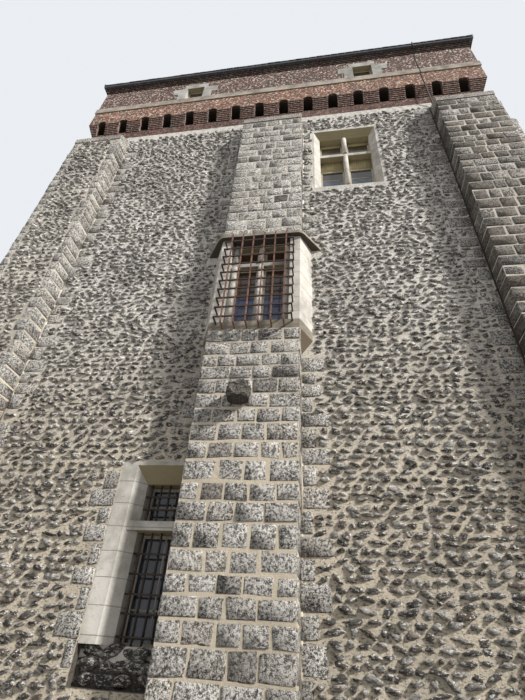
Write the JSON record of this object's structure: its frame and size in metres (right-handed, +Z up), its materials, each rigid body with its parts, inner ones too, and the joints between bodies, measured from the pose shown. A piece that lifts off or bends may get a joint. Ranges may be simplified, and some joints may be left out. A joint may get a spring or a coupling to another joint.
{
  "type": "castle keep",
  "caption": "Square flint castle keep with stone buttresses, a caged bay window, a brick crown of openings and a hipped slate roof.",
  "frame": {"origin": "middle of the footprint at ground level", "axes": "+X right along the front, front faces -Y, +Z up"},
  "size_m": [13.75, 14.005, 24.4923],
  "materials": {
    "flint": "dark flint nodules in cream lime mortar",
    "ashlar": "weathered grey pebbly stone blocks with wide pale joints",
    "limestone": "pale limestone, weathered",
    "brick": "old red brick with pale lime mortar",
    "slate": "dark blue-grey slate",
    "floor_boards": "old oak boards",
    "casement_wood": "painted wood, weathered",
    "glass": "window glass",
    "iron": "rusty wrought iron"
  },
  "bodies": {
    "root": {"attic_floor": "floor_boards", "back_buttresses": "ashlar", "back_wall": "flint", "bay_grille": "iron", "bay_hood": "limestone", "bay_left_cheek": "limestone", "bay_right_cheek": "limestone", "bay_sill": "limestone", "bay_window_frame": "limestone", "centre_buttress_lower": "ashlar", "centre_buttress_upper": "ashlar", "corbel_stub": "ashlar", "cross_window_frames": "limestone", "crown_base": "brick", "crown_corner_piers": "brick", "crown_cornice": "brick", "crown_piers_back": "brick", "crown_piers_front": "brick", "crown_piers_left": "brick", "crown_piers_right": "brick", "crown_wall_back": "brick", "crown_wall_front": "brick", "crown_wall_left": "brick", "crown_wall_right": "brick", "crown_window_frames": "limestone", "first_floor": "floor_boards", "front_left_buttress": "ashlar", "front_right_buttress": "ashlar", "front_wall": "flint", "ground_floor": "floor_boards", "left_buttresses": "ashlar", "left_wall": "flint", "lower_window_frames": "limestone", "right_buttresses": "ashlar", "right_wall": "flint", "roof_back": "slate", "roof_front": "slate", "roof_left": "slate", "roof_right": "slate", "second_floor": "floor_boards", "string_course": "limestone", "window_casements": "casement_wood", "window_glazing": "glass"}
  },
  "joints": []
}
